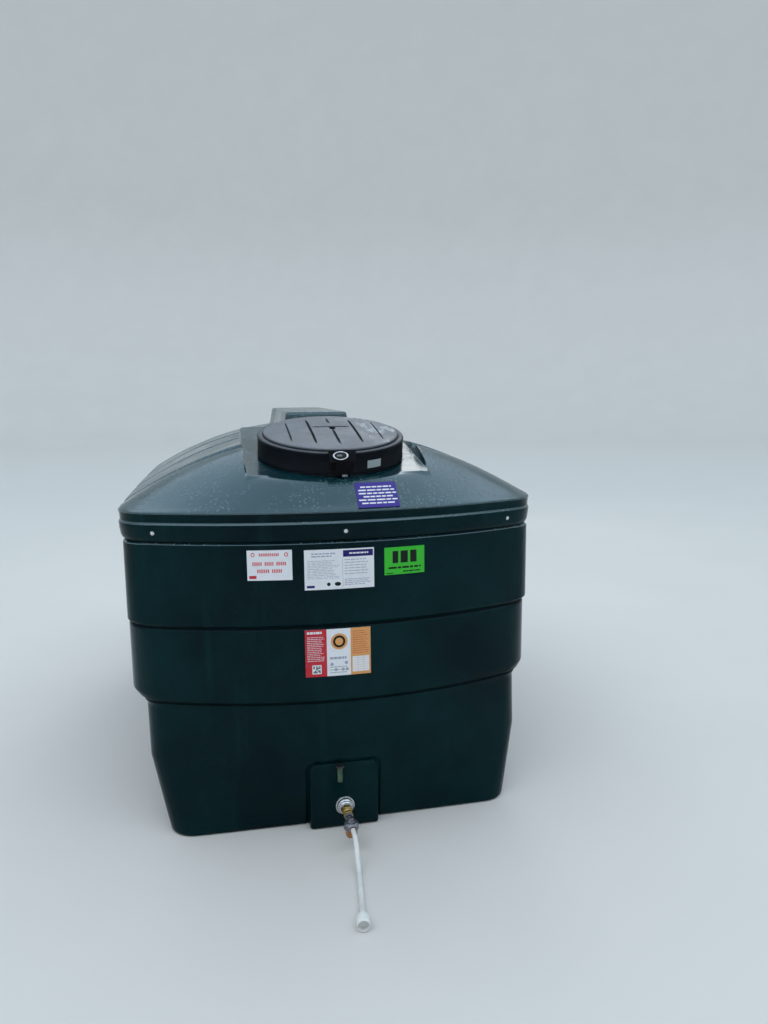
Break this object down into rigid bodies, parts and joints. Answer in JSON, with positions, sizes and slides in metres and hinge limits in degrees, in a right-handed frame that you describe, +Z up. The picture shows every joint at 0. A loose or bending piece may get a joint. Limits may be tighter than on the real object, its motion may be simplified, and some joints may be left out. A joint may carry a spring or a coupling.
{
  "type": "bunded fuel storage tank",
  "caption": "Dark green moulded plastic bunded fuel tank with a bowed roof, a black hinged hatch lid and a bottom outlet with valve and filter.",
  "frame": {"origin": "middle of the footprint on the ground, outlet fittings included", "axes": "+Z up, -Y out of the outlet end, X across the tank"},
  "size_m": [1.5136, 2.8154, 1.4597],
  "materials": {
    "green_plastic": "smooth moulded, wet",
    "inner_plastic": "smooth moulded",
    "lid_plastic": "weathered dark grey",
    "black_plastic": "moulded black",
    "label_film": "printed film",
    "pale_plastic": "clear green tube",
    "steel": "plated",
    "brass": "bare",
    "cast_metal": "cast grey",
    "amber_bowl": "amber tinted",
    "white_plastic": "smooth hose cover"
  },
  "bodies": {
    "tank": {"bund_shell": "green_plastic", "roof_cover": "green_plastic", "inner_tank": "inner_plastic", "hatch_neck": "black_plastic", "hinge_base_left": "black_plastic", "hinge_base_right": "black_plastic", "hinge_pin": "steel", "label_alarm": "label_film", "label_data": "label_film", "label_green": "label_film", "label_notice": "label_film", "label_roof": "label_film", "screw_front_1": "steel", "screw_front_2": "steel", "screw_front_3": "steel", "screw_back_1": "steel", "screw_back_2": "steel", "screw_back_3": "steel", "screw_left_1": "steel", "screw_left_2": "steel", "screw_left_3": "steel", "screw_left_4": "steel", "screw_right_1": "steel", "screw_right_2": "steel", "screw_right_3": "steel", "screw_right_4": "steel", "outlet_gland": "steel", "outlet_nut": "brass", "outlet_union": "brass", "outlet_union_collar": "brass", "valve_body": "cast_metal", "filter_head": "cast_metal", "filter_bowl": "amber_bowl", "outlet_stub": "brass", "hose_socket": "white_plastic", "supply_hose": "white_plastic", "spigot_tube": "pale_plastic", "spigot_cap": "black_plastic"},
    "lid": {"hatch_lid": "lid_plastic", "lid_clasp": "black_plastic", "lock_ring": "steel", "hinge_arm_left": "black_plastic", "hinge_arm_right": "black_plastic", "label_lid": "label_film"}
  },
  "joints": [
    {"name": "hatch_hinge", "type": "hinge", "parent": "tank", "child": "lid", "pos_m": [0.0107, -0.38629, 1.38572], "axis": [-1, 0, 0], "range_deg": [0, 105]}
  ]
}
